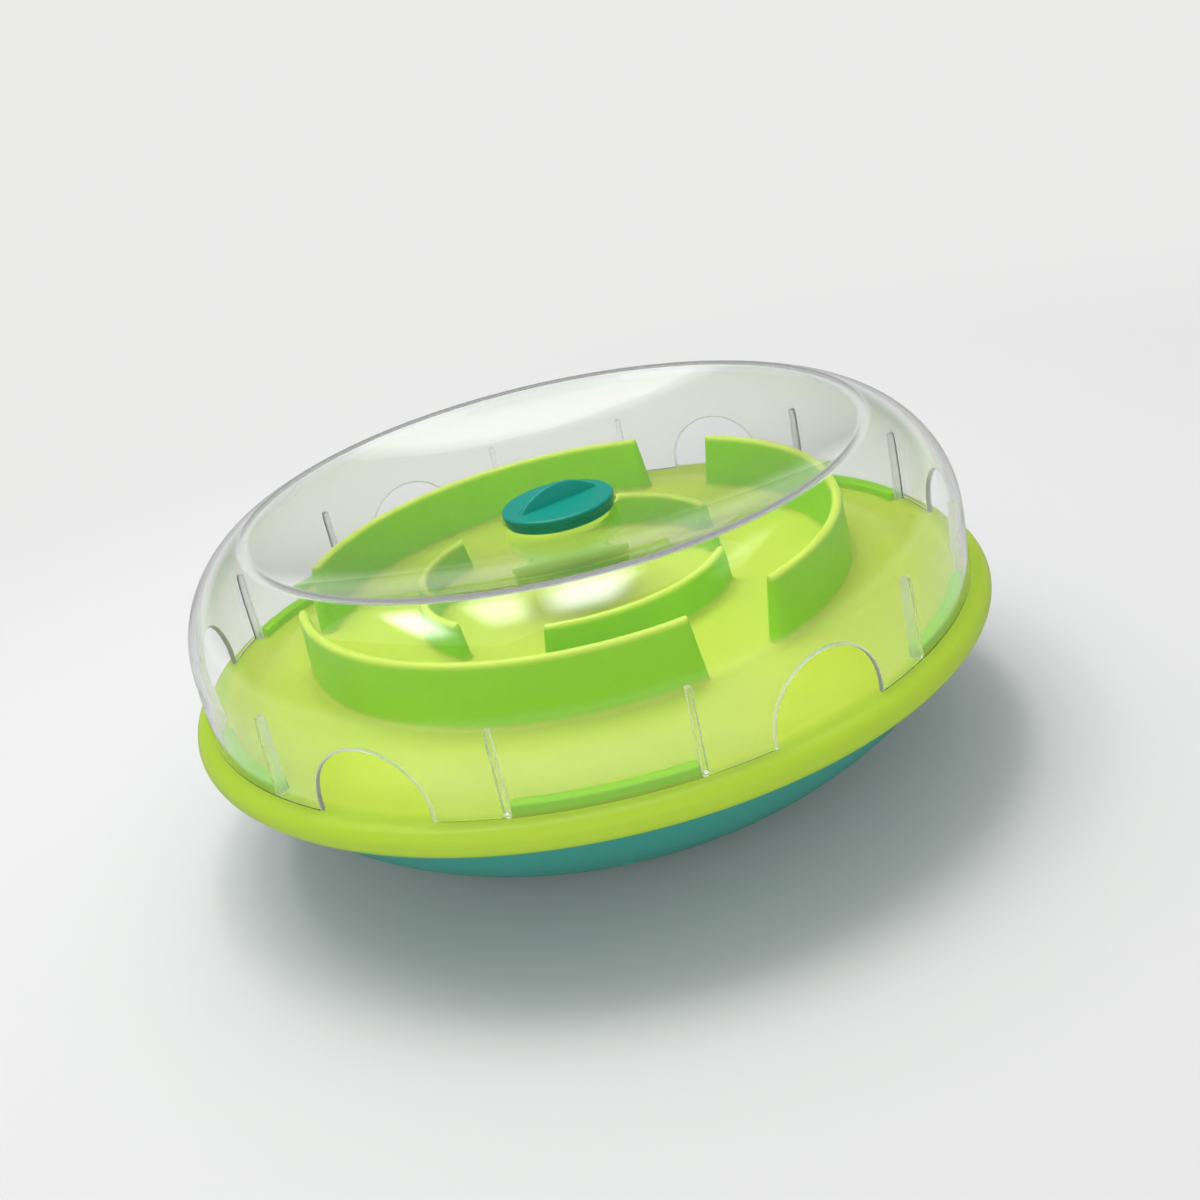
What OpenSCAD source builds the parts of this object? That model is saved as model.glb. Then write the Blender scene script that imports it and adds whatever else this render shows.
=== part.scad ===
// Wobble feeder: a weighted rocker base, a maze tray, a clear lift-off dome and a fill cap.
// Millimetres, +Z up. The origin is the centre of the flat foot, and an arch of the dome faces +X.

/* [Base] */
// Widest diameter of the feeder, across the tray's rolled lip
rim_d = 280; // [262:1:300]
// Diameter of the flat foot in the middle of the rounded underside
foot_d = 84; // [64:1:104]
// Height of the base shell, from the floor to the ledge that carries the tray
base_h = 56.5; // [50:0.5:64]
// How far the base's outside stands in from the lip's widest point
base_inset = 6; // [5.5:0.5:9]
// Height of the upright rim at the top of the base
base_rim_h = 6; // [5:0.5:9]
// Wall thickness of the base shell
base_wall = 2.6; // [2:0.1:3.4]

/* [Tray] */
// Wall thickness of the tray
tray_t = 2.6; // [2:0.1:3.2]
// Radius of the rolled lip
lip_r = 5; // [4:0.25:6]
// How far the lip curls under, past its widest point, in degrees
lip_curl = 40; // [20:1:60]
// Width of the flat band inside the lip, on which the dome stands
seat_w = 7.5; // [6:0.5:9]
// Height of the maze floor above the dome's seat
floor_rise = 7.5; // [4:0.5:11]

/* [Maze] */
// Distance from the lip's widest point to the middle of the outer ring of wall
outer_channel = 47; // [42:1:54]
// Distance between the middles of the two rings of wall
inner_channel = 40; // [32:1:46]
// Height of the outer ring's top above the dome's seat
outer_wall_h = 29; // [22:1:33]
// Height of the inner ring's top above the dome's seat
inner_wall_h = 21; // [16:1:26]
// Width of a wall at its rounded top
wall_top_w = 3.4; // [2.6:0.2:4.4]
// Draft of the walls' long faces, in degrees
wall_draft = 4; // [1:0.5:6]
// Slope of the walls' ends, in degrees from upright
end_slope = 8; // [2:1:12]
// Opening between two outer walls, across their tops
outer_gap = 31; // [24:1:38]
// Opening between two inner walls, across their tops
inner_gap = 33; // [24:1:38]

/* [Dome] */
// How far the dome's lower edge stands in from the lip's widest point
dome_inset = 5.9; // [5.5:0.1:7.2]
// Height of the dome, from its lower edge to its crest
dome_h = 56.2; // [52:0.2:66]
// Wall thickness of the dome
dome_wall = 2; // [1.6:0.1:2.6]
// Lean of the dome's side wall, in degrees from upright
dome_lean = 1.4; // [0.5:0.1:4]
// Radius of the rounded shoulder
shoulder_r = 37.5; // [32:0.5:42]
// Radius of the crest round the dished top
crest_r = 5; // [4:0.5:8]
// How far the crest stands in from the dome's lower edge
crest_inset = 28; // [22:0.5:32]
// Depth of the dished top below the crest
dish_drop = 19.3; // [14:0.1:23]
// Width of an arch in the lower edge
arch_w = 38.6; // [30:0.2:44]
// Height of an arch
arch_h = 22.4; // [20:0.2:26]
// Height of the upright ribs inside the wall
rib_h = 26.5; // [18:0.5:32]
// Depth of a rib
rib_depth = 3.4; // [2:0.2:4.4]
// Thickness of a rib
rib_t = 1.6; // [1.2:0.1:2.4]

/* [Locating lugs] */
// Height of the lugs that stand inside the dome's edge
lug_h = 3.2; // [2:0.2:6]
// Thickness of a lug, measured from the dome inwards
lug_t = 4.4; // [3:0.2:5.4]
// Length of a lug round the tray
lug_l = 53; // [40:1:60]

/* [Fill cap] */
// Diameter of the fill hole
hole_d = 32; // [26:1:35]
// Diameter of the cap
cap_d = 39; // [37:0.5:44]
// Height of the cap's disc
cap_h = 4.8; // [4.4:0.1:7]
// Depth of the cap's plug below the seat
plug_h = 2.2; // [2.2:0.1:5]
// Wall thickness of the plug
plug_wall = 1.8; // [1.4:0.1:2.4]
// Length of the thumb fin across the cap
fin_l = 31; // [24:0.5:34]
// Height of the thumb fin
fin_h = 6; // [4:0.25:8]
// Thickness of the thumb fin at its foot
fin_t = 3.2; // [2.4:0.1:4.4]
// Thickness of the thumb fin at its top
fin_tip_t = 1.9; // [1.4:0.1:2.4]
// Direction of the fin, in degrees from +X
fin_turn = 28; // [0:1:180]

/* [Ballast and screws] */
// Thickness of the steel ballast disc
ballast_t = 10; // [6:0.5:14]
// Screw shank diameter
screw_d = 3; // [2.5:0.1:4]
// Length of a tray screw below its head
screw_l = 18; // [14:1:22]
// Head diameter of a tray screw
head_d = 6; // [5:0.1:7]
// Head height of a screw
head_h = 2.2; // [1.6:0.1:3]
// Flange diameter of a ballast screw
flange_d = 14; // [12:0.5:16]
// How far the tray screws stand in from the lip's widest point
screw_inset = 32; // [28:1:38]

/* [Clearances] */
// Gap between the plug and the fill hole, all round
plug_clear = 0.25; // [0.1:0.05:0.5]
// Gap between the lugs and the dome's wall at the seat
lug_clear = 0.6; // [0.45:0.05:1]
// Gap between the base's rim and the tray's locating ring
ring_clear = 0.3; // [0.15:0.05:0.6]
// Gap round a screw shank in its hole
shank_clear = 0.05; // [0.03:0.01:0.3]
// Gap round a screw head in its counterbore
head_clear = 0.5; // [0.3:0.1:1]
// Gap between the ballast and the bosses round its edge
ballast_clear = 0.4; // [0.2:0.1:1]

/* [Hidden] */
$fn = 96;

// Counts and angles that follow from the sixfold plan
arches = 6;
arch_step = 360 / arches;
walls = 3;
wall_step = 360 / walls;
ballast_count = 3;
cut = 1;
sink = 0.6;

// Heights of the stack, from the floor up
rim_r = rim_d / 2;
foot_r = foot_d / 2;
base_r = rim_r - base_inset;
seat_z = base_h + tray_t;

// The base's underside is one arc, flat at the foot and ending below the upright rim
rocker_h = base_h - base_rim_h;
rocker_run = base_r - foot_r;
rocker_r = (rocker_run * rocker_run + rocker_h * rocker_h) / (2 * rocker_h);
rocker_end = -acos(rocker_run / rocker_r);
rocker_end_in = -acos((rocker_run - base_wall) / (rocker_r - base_wall));
rocker_steps = 24;

// The maze floor is flat as far as the outer ring, then a brow and a toe of two tangent arcs fall to the band
outer_ring_r = rim_r - outer_channel;
inner_ring_r = outer_ring_r - inner_channel;
flat_in = rim_r - lip_r - seat_w;
floor_z = seat_z + floor_rise;
slope_w = flat_in - outer_ring_r;
slope_turn = 2 * atan(floor_rise / slope_w);
brow_share = 0.6;
brow_r = brow_share * slope_w / sin(slope_turn);
toe_r = slope_w / sin(slope_turn) - brow_r;
slope_steps = 8;
lip_steps = 16;
ring_in_w = 2.2;
ring_in_h = 5;

// The dome's outline is a leaning wall, a shoulder arc, a crest arc and a dish arc, all tangent
dome_r = rim_r - dome_inset;
crest_c = [dome_r - crest_inset, seat_z + dome_h - crest_r];
lean_n = [cos(dome_lean), sin(dome_lean)];
lean_t = [-sin(dome_lean), cos(dome_lean)];
wall_offset = crest_c * lean_n - ([dome_r, seat_z] * lean_n - shoulder_r);
shoulder_c = crest_c - wall_offset * lean_n - sqrt(pow(shoulder_r - crest_r, 2) - pow(wall_offset, 2)) * lean_t;
shoulder_end = atan2(crest_c[1] - shoulder_c[1], crest_c[0] - shoulder_c[0]);
dish_z = seat_z + dome_h - dish_drop;
dish_above = crest_c[1] - dish_z;
dish_r = (pow(crest_c[0], 2) + pow(dish_above, 2) - pow(crest_r, 2)) / (2 * (dish_above + crest_r));
dish_c = [0, dish_z + dish_r];
dish_edge = atan2(crest_c[0], dish_c[1] - crest_c[1]);
shoulder_steps = 16;
crest_steps = 8;
dish_steps = 14;
hole_r = hole_d / 2;
hole_seat_w = 1.6;
hole_seat_r = cap_d / 2 + hole_seat_w;
cap_z = dish_c[1] - sqrt(pow(dish_r, 2) - pow(hole_seat_r, 2));

// The lugs stand between two ribs, midway between two arches
lug_r = dome_r - dome_wall / cos(dome_lean) - lug_clear;
lug_half = lug_l / lug_r * 90 / PI;
rib_gap = 0.8;
rib_half = lug_half + (rib_gap + rib_t / 2) / lug_r * 180 / PI;
rib_lift = 0.4;

// Screw seats: the tray's bosses come down to meet the base's bosses
tray_screw_r = rim_r - screw_inset;
boss_drop = 13;
boss_z = base_h - boss_drop;
grip_h = 8;
screw_seat_z = boss_z - grip_h;
boss_wall = 2.4;
base_boss_r = head_d / 2 + head_clear + boss_wall;
tray_boss_wall = 3;
tray_boss_r = screw_d / 2 + tray_boss_wall;
pilot_spare = 1;

// The ballast lies on the flat of the foot, between three bosses
ballast_inset = 1;
ballast_r = foot_r - ballast_inset;
ballast_boss_r = 4;
ballast_bolt_r = ballast_r + ballast_clear + ballast_boss_r;
ballast_screw_l = 7;
ballast_top = base_wall + ballast_t;

function arc(c, r, from, to, n) = [for (i = [0:n]) let (a = from + (to - from) * i / n) c + r * [cos(a), sin(a)]];

// Outline of the tray's floor at a depth below its top, from the axis to the flat band
function floor_outline(depth) = concat(
    [[0, floor_z - depth]],
    arc([outer_ring_r, floor_z - brow_r], brow_r - depth, 90, 90 - slope_turn, slope_steps),
    arc([flat_in, seat_z + toe_r], toe_r + depth, 270 - slope_turn, 270, slope_steps)
);

function reversed(list) = [for (i = [len(list) - 1:-1:0]) list[i]];

// Outline of the base's outside, from the foot to the top of its rim
function rocker_outline() = concat(
    arc([foot_r, rocker_r], rocker_r, -90, rocker_end, rocker_steps),
    [[base_r, base_h]]
);

module base_solid() {
    rotate_extrude() polygon(concat([[0, 0]], rocker_outline(), [[0, base_h]]));
}

module base_skin() {
    inside = arc([foot_r, rocker_r], rocker_r - base_wall, rocker_end_in, -90, rocker_steps);
    rotate_extrude() polygon(concat([[0, 0]], rocker_outline(), [[base_r - base_wall, base_h]], inside, [[0, base_wall]]));
}

module around(count, r, start = 0) {
    for (i = [0:count - 1])
        rotate(start + i * 360 / count)
            translate([r, 0, 0])
                children();
}

// Teal rocker shell with its bosses for the tray screws and the ballast screws
module base_shell() {
    color("#3f8c80")
        difference() {
            union() {
                base_skin();
                intersection() {
                    base_solid();
                    union() {
                        around(arches, tray_screw_r, arch_step / 2) cylinder(r = base_boss_r, h = boss_z);
                        around(ballast_count, ballast_bolt_r) cylinder(r = ballast_boss_r, h = ballast_top);
                    }
                }
            }
            around(arches, tray_screw_r, arch_step / 2) {
                translate([0, 0, -cut]) cylinder(r = head_d / 2 + head_clear, h = screw_seat_z + cut);
                cylinder(r = screw_d / 2 + shank_clear, h = boss_z + cut);
            }
            around(ballast_count, ballast_bolt_r)
                translate([0, 0, ballast_top - ballast_screw_l - pilot_spare])
                    cylinder(r = screw_d / 2 + shank_clear, h = ballast_screw_l + pilot_spare + cut);
        }
}

// Section of a maze wall: drafted sides under a full round, standing on the given height
module wall_section(r, foot_z, top_z) {
    round_r = wall_top_w / 2;
    round_c = [r, top_z - round_r];
    spread = (top_z - foot_z) * tan(wall_draft);
    polygon(concat(
        [[r - round_r - spread, foot_z], [r + round_r + spread, foot_z]],
        arc(round_c, round_r, wall_draft, 180 - wall_draft, lip_steps)
    ));
}

// One ring of maze: three walls whose ends slope, with the openings starting at the given angle
module maze_ring(r, top_z, gap, start) {
    foot_z = floor_z - tray_t / 2;
    half_gap = asin(gap / 2 / r);
    reach = atan((top_z - foot_z) * tan(end_slope) / r);
    block = 2 * (top_z - foot_z);
    for (i = [0:walls - 1])
        rotate(start + i * wall_step)
            difference() {
                rotate(half_gap - reach)
                    rotate_extrude(angle = wall_step - 2 * (half_gap - reach)) wall_section(r, foot_z, top_z);
                for (side = [0, 1])
                    rotate(side * wall_step)
                        mirror([0, side, 0])
                            translate([r, gap / 2, top_z])
                                rotate([-end_slope, 0, 0])
                                    translate([-block / 2, -2 * block, -block - top_z])
                                        cube([block, 2 * block, 2 * block + top_z]);
            }
}

// Section of the tray: maze floor, slope, flat band and rolled lip, all of one thickness
module tray_section() {
    lip_c = [rim_r - lip_r, seat_z - lip_r];
    polygon(concat(
        floor_outline(0),
        arc(lip_c, lip_r, 90, -lip_curl, lip_steps),
        arc(lip_c, lip_r - tray_t, -lip_curl, 90, lip_steps),
        reversed(floor_outline(tray_t))
    ));
}

// Everything below the middle of the tray's floor
module under_floor() {
    rotate_extrude() polygon(concat(floor_outline(tray_t / 2), [[flat_in, 0], [0, 0]]));
}

// Green tray with its maze, lugs, locating ring and screw bosses
module tray() {
    ring_r = base_r - base_wall - ring_clear;
    color("#a5cf3f")
        difference() {
            union() {
                rotate_extrude() tray_section();
                maze_ring(outer_ring_r, seat_z + outer_wall_h, outer_gap, arch_step);
                maze_ring(inner_ring_r, seat_z + inner_wall_h, inner_gap, 0);
                for (i = [0:arches - 1])
                    rotate(arch_step / 2 + i * arch_step - lug_half)
                        rotate_extrude(angle = 2 * lug_half)
                            translate([lug_r - lug_t, seat_z - sink]) square([lug_t, lug_h + sink]);
                translate([0, 0, base_h - ring_in_h])
                    difference() {
                        cylinder(r = ring_r, h = ring_in_h + sink);
                        translate([0, 0, -cut]) cylinder(r = ring_r - ring_in_w, h = ring_in_h + sink + 2 * cut);
                    }
                intersection() {
                    under_floor();
                    around(arches, tray_screw_r, arch_step / 2)
                        translate([0, 0, boss_z]) cylinder(r = tray_boss_r, h = floor_z - boss_z);
                }
            }
            around(arches, tray_screw_r, arch_step / 2)
                translate([0, 0, boss_z - cut])
                    cylinder(r = screw_d / 2 + shank_clear, h = screw_l - grip_h + pilot_spare + cut);
        }
}

// Outline of the dome at a depth below its outside, from the lower edge to the hole's seat
function dome_outline(depth) = concat(
    [[dome_r - depth / cos(dome_lean), seat_z]],
    arc(shoulder_c, shoulder_r - depth, dome_lean, shoulder_end, shoulder_steps),
    arc(crest_c, crest_r - depth, shoulder_end, 90 + dish_edge, crest_steps),
    arc(dish_c, dish_r + depth, dish_edge - 90, asin(hole_seat_r / (dish_r + depth)) - 90, dish_steps),
    [[hole_r, cap_z - depth]]
);

module dome_skin() {
    rotate_extrude() polygon(concat(dome_outline(0), reversed(dome_outline(dome_wall))));
}

module dome_solid() {
    rotate_extrude() polygon(concat(dome_outline(dome_wall / 2), [[0, cap_z], [0, seat_z]]));
}

// Outline of an arch, standing on the dome's lower edge
module arch_outline() {
    leg = arch_h - arch_w / 2;
    translate([0, leg]) circle(d = arch_w);
    translate([-arch_w / 2, -cut]) square([arch_w, leg + cut]);
}

// Clear dome with arches, ribs and the fill hole
module dome() {
    rib_in = dome_r - dome_wall - rib_depth;
    color("#e8f2ea", 0.35)
        difference() {
            union() {
                dome_skin();
                intersection() {
                    dome_solid();
                    for (i = [0:arches - 1], side = [-1, 1])
                        rotate(arch_step / 2 + i * arch_step + side * rib_half)
                            translate([rib_in, -rib_t / 2, seat_z + rib_lift])
                                cube([rib_depth + dome_wall, rib_t, rib_h - rib_lift]);
                }
            }
            for (i = [0:arches - 1])
                rotate(i * arch_step)
                    translate([0, 0, seat_z])
                        rotate([90, 0, 90])
                            linear_extrude(rim_r) arch_outline();
        }
}

// Section of the cap: a disc with a rounded edge and a stepped foot over a hollow plug
module cap_section() {
    cap_r = cap_d / 2;
    edge_r = 0.8;
    edge_steps = 5;
    step_h = 2.6;
    step_in = 0.7;
    plug_r = hole_r - plug_clear;
    crown = 2.6;
    polygon(concat(
        [[0, cap_z + cap_h]],
        arc([cap_r - edge_r, cap_z + cap_h - edge_r], edge_r, 90, 0, edge_steps),
        [
            [cap_r, cap_z + step_h],
            [cap_r - step_in, cap_z + step_h],
            [cap_r - step_in, cap_z],
            [plug_r, cap_z],
            [plug_r, cap_z - plug_h],
            [plug_r - plug_wall, cap_z - plug_h],
            [plug_r - plug_wall, cap_z + cap_h - crown],
            [0, cap_z + cap_h - crown]
        ]
    ));
}

// Half-moon fin: a drafted bar trimmed by a lying cylinder
module thumb_fin() {
    moon_r = (fin_l * fin_l / 4 + fin_h * fin_h) / (2 * fin_h);
    intersection() {
        rotate([90, 0, 90])
            translate([0, 0, -fin_l / 2])
                linear_extrude(fin_l)
                    polygon([[-fin_t / 2, -sink], [fin_t / 2, -sink], [fin_tip_t / 2, fin_h], [-fin_tip_t / 2, fin_h]]);
        translate([0, fin_t, fin_h - moon_r])
            rotate([90, 0, 0])
                cylinder(r = moon_r, h = 2 * fin_t);
    }
}

// Teal fill cap with its thumb fin and short plug
module fill_cap() {
    color("#2b9a8e") {
        rotate_extrude() cap_section();
        rotate(fin_turn) translate([0, 0, cap_z + cap_h]) thumb_fin();
    }
}

// Steel disc that rests on the flat of the foot
module ballast_plate() {
    color("#8a8d90")
        translate([0, 0, base_wall]) cylinder(r = ballast_r, h = ballast_t);
}

// A pan-head screw, point up, with its head's bearing face at height 0
module screw(head_r, length) {
    slot_l = 3.4;
    slot_w = 0.9;
    slot_depth = 1.2;
    difference() {
        union() {
            translate([0, 0, -head_h]) cylinder(r = head_r, h = head_h);
            cylinder(d = screw_d, h = length);
        }
        for (turn = [0, 90])
            rotate(turn)
                translate([-slot_l / 2, -slot_w / 2, -head_h - cut])
                    cube([slot_l, slot_w, slot_depth + cut]);
    }
}

// Flange-head screws that clamp the edge of the ballast
module ballast_screws() {
    color("#b9bcc0")
        around(ballast_count, ballast_bolt_r)
            translate([0, 0, ballast_top]) rotate([180, 0, 0]) screw(flange_d / 2, ballast_screw_l);
}

// Screws that pull the tray down on the base
module assembly_screws() {
    color("#b9bcc0")
        around(arches, tray_screw_r, arch_step / 2)
            translate([0, 0, screw_seat_z]) screw(head_d / 2, screw_l);
}

base_shell();
tray();
dome();
fill_cap();
ballast_plate();
ballast_screws();
assembly_screws();
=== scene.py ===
import math
import bmesh
import bpy
from mathutils import Matrix, Quaternion, Vector


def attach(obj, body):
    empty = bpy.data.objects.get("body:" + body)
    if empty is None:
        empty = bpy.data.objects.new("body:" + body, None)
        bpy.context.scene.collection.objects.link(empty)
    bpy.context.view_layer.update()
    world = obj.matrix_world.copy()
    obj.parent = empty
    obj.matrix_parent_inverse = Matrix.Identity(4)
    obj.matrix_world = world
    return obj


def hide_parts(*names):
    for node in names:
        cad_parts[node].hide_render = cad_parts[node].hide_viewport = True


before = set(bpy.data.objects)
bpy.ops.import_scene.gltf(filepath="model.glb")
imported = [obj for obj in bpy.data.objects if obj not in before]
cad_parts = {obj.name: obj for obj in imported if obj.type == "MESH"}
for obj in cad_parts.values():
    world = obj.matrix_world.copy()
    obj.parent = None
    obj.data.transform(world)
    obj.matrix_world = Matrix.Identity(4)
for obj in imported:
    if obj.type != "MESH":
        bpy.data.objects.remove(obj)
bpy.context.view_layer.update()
print("frame loaded:", ", ".join(sorted(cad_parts)))

scene = bpy.context.scene
scene.view_settings.view_transform = "Standard"
mm = 0.001
sixth = 60.0  # degrees from one arch to the next

# heights and radii that several pieces share, in millimetres
stack = {
    "rimR": 140.0,
    "baseH": 56.5,
    "seatZ": 59.1,  # where the dome stands on the tray
    "floorZ": 66.6,  # top of the tray's floor inside the outer ring
    "flatIn": 127.5,  # where the floor meets the flat of the lip
    "outerRingR": 93.0,
    "innerRingR": 53.0,
    "outerTopZ": 88.1,
    "innerTopZ": 80.1,
    "domeR": 134.1,
    "domeWall": 2.0,
    "lean": 1.4,  # of the dome's wall, in degrees
    "archR": 19.3,
    "archTop": 22.4,
    "crestZ": 115.3,
    "capZ": 96.83,
    "screwRing": (6, 30),  # how many, and the angle of the first
    "screwR": 108.0,
    "screwSeatZ": 35.5,
    "bossZ": 43.5,
    "clampRing": (3, 0),
    "clampR": 45.4,
    "ballastTop": 12.6,
    "spin": 192,  # facets of the large turned pieces
}


# small mesh tools

meshTool = {"onAxis": 1e-6, "weld": 1e-6}  # a radius in millimetres, a distance in metres


def arcPoints(centre, radius, start, end, steps):
    angles = [math.radians(start + (end - start) * i / steps) for i in range(steps + 1)]
    return [(centre[0] + radius * math.cos(a), centre[1] + radius * math.sin(a)) for a in angles]


def joinRings(bm, low, high):
    if len(low) == 1 and len(high) == 1:
        return
    count = max(len(low), len(high))
    for i in range(count):
        j = (i + 1) % count
        corners = [low[i % len(low)], low[j % len(low)], high[j % len(high)], high[i % len(high)]]
        bm.faces.new(list(dict.fromkeys(corners)))


def stackRings(bm, rings, capped=False):
    for low, high in zip(rings, rings[1:]):
        joinRings(bm, low, high)
    if capped:
        bm.faces.new(rings[0])
        bm.faces.new(rings[-1])


def spinSection(bm, section, segments, closed=True, centre=(0.0, 0.0)):
    turns = [2 * math.pi * i / segments for i in range(segments)]
    rings = []
    for r, z in section:
        spots = [centre]
        if r >= meshTool["onAxis"]:
            spots = [(centre[0] + r * math.cos(t), centre[1] + r * math.sin(t)) for t in turns]
        rings.append([bm.verts.new((x * mm, y * mm, z * mm)) for x, y in spots])
    stackRings(bm, rings)
    if closed:
        joinRings(bm, rings[-1], rings[0])
    return rings


def makePiece(name, bm):
    bmesh.ops.remove_doubles(bm, verts=bm.verts, dist=meshTool["weld"])
    bmesh.ops.recalc_face_normals(bm, faces=bm.faces)
    mesh = bpy.data.meshes.new(name)
    bm.to_mesh(mesh)
    bm.free()
    piece = bpy.data.objects.new(name, mesh)
    scene.collection.objects.link(piece)
    return piece


def settle(piece):  # turns the modifiers into plain mesh
    graph = bpy.context.evaluated_depsgraph_get()
    graph.update()
    mesh = bpy.data.meshes.new_from_object(piece.evaluated_get(graph))
    piece.modifiers.clear()
    piece.data = mesh


def fuse(piece, tools, operation="UNION"):
    for tool in tools:
        step = piece.modifiers.new(operation.lower(), "BOOLEAN")
        step.object, step.operation, step.solver = tool, operation, "EXACT"
    settle(piece)
    for tool in tools:
        bpy.data.objects.remove(tool)


def soften(piece, width, angle, segments=2):
    step = piece.modifiers.new("soften", "BEVEL")
    step.width, step.segments = width * mm, segments
    step.limit_method, step.angle_limit = "ANGLE", math.radians(angle)
    settle(piece)


def smooth(piece, angle):
    piece.data.shade_smooth()
    piece.data.set_sharp_from_angle(angle=math.radians(angle))


def dress(piece, material):
    piece.data.materials.clear()
    piece.data.materials.append(material)


def handOver(piece, node, body):
    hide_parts(node)
    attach(piece, body)
    print("piece ready:", piece.name, len(piece.data.polygons), "faces")


# node maths: a socket that takes part in plain expressions

class Wire:
    def __init__(self, tree, socket=None):
        self.tree, self.socket = tree, socket

    def add(self, kind, settings=None, sockets=None, out=0):
        node = self.tree.nodes.new(kind)
        for key, value in (settings or {}).items():
            setattr(node, key, value)
        for key, value in (sockets or {}).items():
            if isinstance(value, Wire):
                self.tree.links.new(value.socket, node.inputs[key])
            else:
                node.inputs[key].default_value = value
        return Wire(self.tree, None if out is None else node.outputs[out])

    def maths(self, operation, first, second):
        return self.add("ShaderNodeMath", {"operation": operation}, {0: first, 1: second})

    def __add__(self, other):
        return self.maths("ADD", self, other)

    def __sub__(self, other):
        return self.maths("SUBTRACT", self, other)

    def __rsub__(self, other):
        return self.maths("SUBTRACT", other, self)

    def __mul__(self, other):
        return self.maths("MULTIPLY", self, other)

    def __pow__(self, other):
        return self.maths("POWER", self, other)

    __radd__ = __add__
    __rmul__ = __mul__

    def rise(self, low, high, base=0.0):  # 0 below low, 1 above high, eased between; both count from base
        return self.add("ShaderNodeMapRange", {"interpolation_type": "SMOOTHSTEP"},
                        {"Value": self, "From Min": base + low, "From Max": base + high})

    def blend(self, first, second):  # colours, by this wire
        return self.add("ShaderNodeMix", {"data_type": "RGBA"}, {0: self, 6: first, 7: second}, out=2)

    def noise(self, scale, detail=2.0, rough=0.5):  # on this wire's place
        return self.add("ShaderNodeTexNoise", None,
                        {"Vector": self, "Scale": scale, "Detail": detail, "Roughness": rough})

    def stretch(self, turn, scale):
        return self.add("ShaderNodeMapping", None, {"Vector": self, "Rotation": turn, "Scale": scale})

    def bump(self, height, **more):  # height in millimetres
        sockets = {"Strength": 1.0, "Distance": mm, "Height": height}
        return self.add("ShaderNodeBump", None, {**sockets, **more})

    def ray(self, kind):  # 1 for light of one kind
        return self.add("ShaderNodeLightPath", None, None, "Is " + kind + " Ray")


# Geometry Nodes: copies of one solid round the upright axis

def ringCopiesTree():
    tree = bpy.data.node_groups.new("ringCopies", "GeometryNodeTree")
    face = tree.interface
    face.new_socket("Geometry", in_out="OUTPUT", socket_type="NodeSocketGeometry")
    kinds = {"Source": "Object", "Count": "Int", "Start Angle": "Float", "Finish": "Material"}
    ids = {name: face.new_socket(name, in_out="INPUT", socket_type="NodeSocket" + kind).identifier
           for name, kind in kinds.items()}
    wire = Wire(tree)
    given = {name: wire.add("NodeGroupInput", None, None, name) for name in kinds}
    points = wire.add("GeometryNodePoints", None, {"Count": given["Count"]})
    share = wire.maths("DIVIDE", 2 * math.pi, given["Count"])
    turn = wire.add("GeometryNodeInputIndex") * share + given["Start Angle"]
    angle = wire.add("ShaderNodeCombineXYZ", None, {"Z": turn})
    source = wire.add("GeometryNodeObjectInfo", None, {
        "Object": given["Source"], "As Instance": True}, "Geometry")
    copies = wire.add("GeometryNodeInstanceOnPoints", None, {
        "Points": points, "Instance": source, "Rotation": angle})
    real = wire.add("GeometryNodeRealizeInstances", None, {0: copies})
    finish = wire.add("GeometryNodeSetMaterial", None, {"Geometry": real, "Material": given["Finish"]})
    wire.add("NodeGroupOutput", None, {0: finish}, None)
    return tree, ids


ringTree, ringIds = ringCopiesTree()


def copyRound(name, source, count, start, finish):
    host = bpy.data.objects.new(name, bpy.data.meshes.new(name))
    step = host.modifiers.new("ring", "NODES")
    step.node_group = ringTree
    values = {"Source": source, "Count": count, "Start Angle": math.radians(start), "Finish": finish}
    for label, value in values.items():
        step[ringIds[label]] = value
    scene.collection.objects.link(host)
    settle(host)
    bpy.data.objects.remove(source)
    return host


# materials: shared tools first, then one look and one function for each finish

def tint(red, green, blue):  # screen values 0 to 255 to linear light
    def linear(v):
        v /= 255
        return v / 12.92 if v <= 0.04045 else ((v + 0.055) / 1.055) ** 2.4
    return (linear(red), linear(green), linear(blue), 1.0)


def grey(value):
    return (value, value, value, 1.0)


def startMaterial(name):
    material = bpy.data.materials.new(name)
    material.use_nodes = True
    material.node_tree.nodes.clear()
    wire = Wire(material.node_tree)
    place = wire.add("ShaderNodeTexCoord", None, None, "Object")
    return material, wire, place


def axis(place, which):
    return place.add("ShaderNodeSeparateXYZ", None, {0: place}, which)


def polar(place):  # distance from the upright axis and height, in millimetres
    x, y, z = [axis(place, i) * (1 / mm) for i in range(3)]
    return (x * x + y * y) ** 0.5, z


def close(wire, surface, volume=None):
    sockets = {"Surface": surface}
    if volume:
        sockets["Volume"] = volume
    wire.add("ShaderNodeOutputMaterial", None, sockets, None)


# satin moulded plastic: fine spark-eroded grain, faint flow waves, rubbed streaks, soft edges

mouldLook = {
    "grain": (3.0, 0.6),  # detail and roughness of each noise
    "waves": (1.0, 0.5),
    "streaks": (4.0, 0.65),
    "mottle": (2.0, 0.5),
    "streakTurn": (0.3, 0.5, 0.8), "streakStretch": (1.0, 9.0, 4.0), "streakBand": (0.56, 0.72),
    "mottleBand": (0.3, 0.7),
    "ior": 1.5, "edgeSamples": 6,
}


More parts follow.
